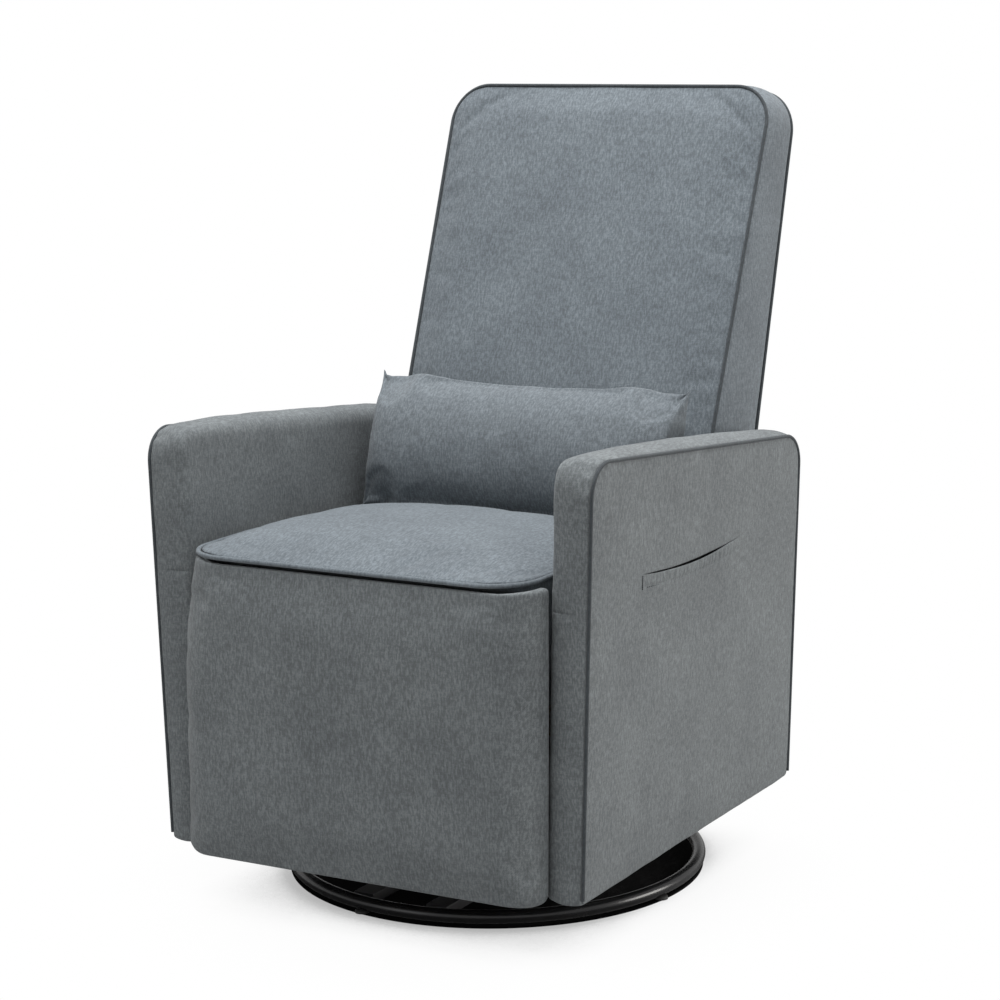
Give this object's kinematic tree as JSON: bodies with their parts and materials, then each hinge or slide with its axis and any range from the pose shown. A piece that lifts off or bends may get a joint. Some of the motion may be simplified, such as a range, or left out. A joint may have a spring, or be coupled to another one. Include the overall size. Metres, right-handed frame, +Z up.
{
  "type": "glider nursery chair",
  "caption": "Upholstered nursery armchair that swivels and glides on a ring base, with a reclining back, a fold-out footrest, a side pocket, piped edges and a loose lumbar pillow.",
  "frame": {"origin": "on the floor, under the middle of the chair's overall box with the footrest stowed and the back upright", "axes": "+Z up; the chair faces -Y; +X is the sitter's left, the side with the pocket"},
  "size_m": [0.6472, 0.8262, 1.0428],
  "materials": {
    "body_fabric": "heathered grey-blue woven upholstery with fine vertical slubs",
    "seat_fabric": "the same weave on the seat top and the back, lit from above",
    "pillow_fabric": "the same weave on the loose pillow",
    "welt_fabric": "self fabric wrapped round a cord, with a dark seam line beside it",
    "ring_gloss_black": "gloss black powder coat",
    "black_steel": "satin black powder coat on pressed steel",
    "zinc_steel": "zinc plated steel",
    "plywood": "bare plywood and softwood",
    "webbing": "elastic seat webbing, close woven",
    "black_plastic": "moulded black plastic"
  },
  "bodies": {
    "base": {"base_ring": "ring_gloss_black", "base_foot_1": "black_plastic", "base_foot_2": "black_plastic", "base_foot_3": "black_plastic", "base_foot_4": "black_plastic", "base_tube_right": "black_steel", "base_tube_left": "black_steel", "base_hub": "black_steel", "bearing_lower_race": "zinc_steel", "bearing_ball_cage": "zinc_steel", "swivel_bolt": "zinc_steel"},
    "turntable": {"swivel_plate": "black_steel", "glide_beam_front": "black_steel", "glide_beam_rear": "black_steel", "glide_side_plate_left": "black_steel", "glide_side_plate_right": "black_steel"},
    "link_front_left": {"swing_link_front_left": "zinc_steel"},
    "link_rear_left": {"swing_link_rear_left": "zinc_steel"},
    "link_front_right": {"swing_link_front_right": "zinc_steel"},
    "link_rear_right": {"swing_link_rear_right": "zinc_steel"},
    "carriage": {"carriage_bracket_left": "black_steel", "carriage_bracket_right": "black_steel", "carriage_beam_front": "black_steel", "carriage_beam_rear": "black_steel", "seat_rail_left": "plywood", "seat_rail_right": "plywood", "seat_rail_front": "plywood", "seat_rail_rear": "plywood", "seat_webbing": "webbing", "seat_cushion": "seat_fabric", "seat_front_welt": "welt_fabric", "rear_apron": "body_fabric", "arm_left_pad": "body_fabric", "arm_left_board": "plywood", "arm_left_outer_panel": "body_fabric", "arm_left_welt": "welt_fabric", "arm_left_pocket_front": "body_fabric", "arm_right_pad": "body_fabric", "arm_right_board": "plywood", "arm_right_outer_panel": "body_fabric", "arm_right_welt": "welt_fabric", "release_cup": "black_plastic"},
    "release": {"release_paddle": "black_plastic"},
    "backrest": {"back_cushion": "seat_fabric", "back_board": "plywood", "back_rear_panel": "body_fabric", "back_front_welt": "welt_fabric", "back_rear_welt": "welt_fabric", "back_bracket_left": "zinc_steel", "back_bracket_right": "zinc_steel"},
    "pillow": {"lumbar_pillow": "pillow_fabric"},
    "leg_rear": {"leg_rear_link_left": "zinc_steel", "leg_rear_link_right": "zinc_steel", "leg_cross_tube": "black_steel"},
    "leg_front": {"leg_front_link_left": "zinc_steel", "leg_front_link_right": "zinc_steel"},
    "footrest": {"footrest_pad": "body_fabric", "footrest_board": "plywood", "footrest_bracket_left": "zinc_steel", "footrest_bracket_right": "zinc_steel"}
  },
  "joints": [
    {"name": "seat_swivel", "type": "hinge", "parent": "base", "child": "turntable", "pos_m": [0, -0.0292, 0.0646], "axis": [0, 0, 1], "continuous": true},
    {"name": "glide_swing", "type": "hinge", "parent": "turntable", "child": "link_front_left", "pos_m": [0.168, -0.1642, 0.222], "axis": [1, 0, 0], "range_deg": [-18, 18]},
    {"name": "glide_level", "type": "hinge", "parent": "link_front_left", "child": "carriage", "pos_m": [0.168, -0.1642, 0.102], "axis": [1, 0, 0], "range_deg": [-18, 18]},
    {"name": "swing_rear_left", "type": "hinge", "parent": "turntable", "child": "link_rear_left", "pos_m": [0.168, 0.1058, 0.222], "axis": [1, 0, 0], "range_deg": [-18, 18]},
    {"name": "swing_front_right", "type": "hinge", "parent": "turntable", "child": "link_front_right", "pos_m": [-0.168, -0.1642, 0.222], "axis": [1, 0, 0], "range_deg": [-18, 18]},
    {"name": "swing_rear_right", "type": "hinge", "parent": "turntable", "child": "link_rear_right", "pos_m": [-0.168, 0.1058, 0.222], "axis": [1, 0, 0], "range_deg": [-18, 18]},
    {"name": "back_recline", "type": "hinge", "parent": "carriage", "child": "backrest", "pos_m": [0, 0.2208, 0.29], "axis": [-1, 0, 0], "range_deg": [0, 30]},
    {"name": "footrest_drive", "type": "hinge", "parent": "carriage", "child": "leg_rear", "pos_m": [0, -0.2922, 0.292], "axis": [-1, 0, 0], "range_deg": [0, 105]},
    {"name": "footrest_knee", "type": "hinge", "parent": "leg_rear", "child": "leg_front", "pos_m": [0, -0.2382, 0.126], "axis": [1, 0, 0], "range_deg": [0, 136.5]},
    {"name": "footrest_toe", "type": "hinge", "parent": "leg_front", "child": "footrest", "pos_m": [0, -0.3307, 0.265], "axis": [-1, 0, 0], "range_deg": [0, 117.6]},
    {"name": "release_flip", "type": "hinge", "parent": "carriage", "child": "release", "pos_m": [-0.3114, -0.1792, 0.5045], "axis": [0, 1, 0], "range_deg": [0, 35], "stiffness_Nm_per_rad": 0.15, "springref_deg": -5.73},
    {"name": "pillow_lift", "type": "slide", "parent": "backrest", "child": "pillow", "axis": [0, 0.342, 0.9397], "range_m": [0, 0.25]}
  ],
  "couplings": [
    {"joint": "glide_level", "follows": "glide_swing", "ratio": -1},
    {"joint": "swing_rear_left", "follows": "glide_swing", "ratio": 1},
    {"joint": "swing_front_right", "follows": "glide_swing", "ratio": 1},
    {"joint": "swing_rear_right", "follows": "glide_swing", "ratio": 1},
    {"joint": "footrest_knee", "follows": "footrest_drive", "ratio": 1.3},
    {"joint": "footrest_toe", "follows": "footrest_drive", "ratio": 1.12}
  ]
}
